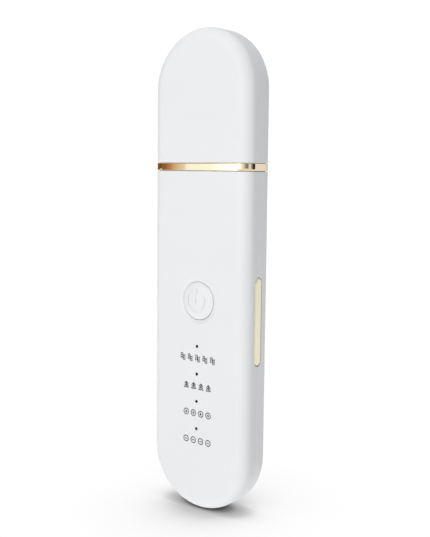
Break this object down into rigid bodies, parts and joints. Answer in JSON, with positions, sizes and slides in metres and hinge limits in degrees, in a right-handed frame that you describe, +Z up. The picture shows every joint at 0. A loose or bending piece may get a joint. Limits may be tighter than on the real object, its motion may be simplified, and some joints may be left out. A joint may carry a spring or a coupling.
{
  "type": "skin scrubber",
  "caption": "Slim rounded hand-held skin scrubber with a pull-off cap over a steel blade, gold ring, push button, mode lights and a side contact strip.",
  "frame": {"origin": "centre of the bottom end, under the charging socket", "axes": "+Z up the device towards the cap, front face with the button towards -Y, contact strip on +X"},
  "size_m": [0.0446, 0.0157, 0.178],
  "materials": {
    "white_plastic": "fine matte moulded, slightly cool white",
    "neck_plastic": "satin moulded, pale grey white",
    "gold_trim": "mirror-bright gold plating",
    "pale_gold": "satin pale gold plating",
    "steel_blade": "fine polished stainless steel",
    "grey_silicone": "soft matte silicone",
    "piezo_ceramic": "silvered ceramic",
    "red_wire": "silicone wire jacket",
    "steel_screw": "zinc-plated steel",
    "grey_plastic": "plain moulded",
    "board_green": "green solder mask",
    "black_plastic": "plain moulded",
    "smoked_clear": "dark smoked clear plastic",
    "white_lamp": "plain moulded",
    "ferrite": "sintered ferrite",
    "copper_wire": "enamelled copper",
    "can_aluminium": "drawn can",
    "cell_foil": "laminated pouch foil",
    "black_foam": "adhesive foam tape",
    "socket_steel": "stamped steel",
    "spring_brass": "spring strip"
  },
  "bodies": {
    "handle": {"front_shell": "white_plastic", "rear_shell": "white_plastic", "neck_front": "neck_plastic", "neck_rear": "neck_plastic", "trim_ring": "gold_trim", "side_electrode": "pale_gold", "blade": "steel_blade", "blade_seal": "grey_silicone", "blade_cushions": "grey_silicone", "piezo_ring": "piezo_ceramic", "piezo_leads": "red_wire", "blade_lead": "red_wire", "battery_leads": "red_wire", "neck_screws": "steel_screw", "board_screws": "steel_screw", "chassis_screws": "steel_screw", "chassis": "grey_plastic", "main_board": "board_green", "tact_switch": "black_plastic", "light_guide": "smoked_clear", "light_shroud": "black_plastic", "mode_leds": "white_lamp", "control_chip": "black_plastic", "charge_chip": "black_plastic", "power_transistors": "black_plastic", "transformer_core": "ferrite", "transformer_coil": "copper_wire", "tuning_coil": "ferrite", "bulk_capacitors": "can_aluminium", "battery_cell": "cell_foil", "cell_protector": "board_green", "battery_tape": "black_foam", "battery_plug": "white_lamp", "usb_shell": "socket_steel", "usb_tongue": "black_plastic", "electrode_spring": "spring_brass"},
    "cap": {"cap_shell": "white_plastic"},
    "button": {"power_button": "white_plastic"},
    "plunger": {"switch_plunger": "black_plastic"}
  },
  "joints": [
    {"name": "cap_pull", "type": "slide", "parent": "handle", "child": "cap", "axis": [0, 0, 1], "range_m": [0, 0.06]},
    {"name": "button_press", "type": "slide", "parent": "handle", "child": "button", "axis": [0, 1, 0], "range_m": [0, 0.0003], "stiffness_N_per_m": 2000, "springref_m": -0.0003},
    {"name": "plunger_press", "type": "slide", "parent": "handle", "child": "plunger", "axis": [0, 1, 0], "range_m": [0, 0.0003]}
  ],
  "couplings": [
    {"joint": "plunger_press", "follows": "button_press", "ratio": 1}
  ]
}
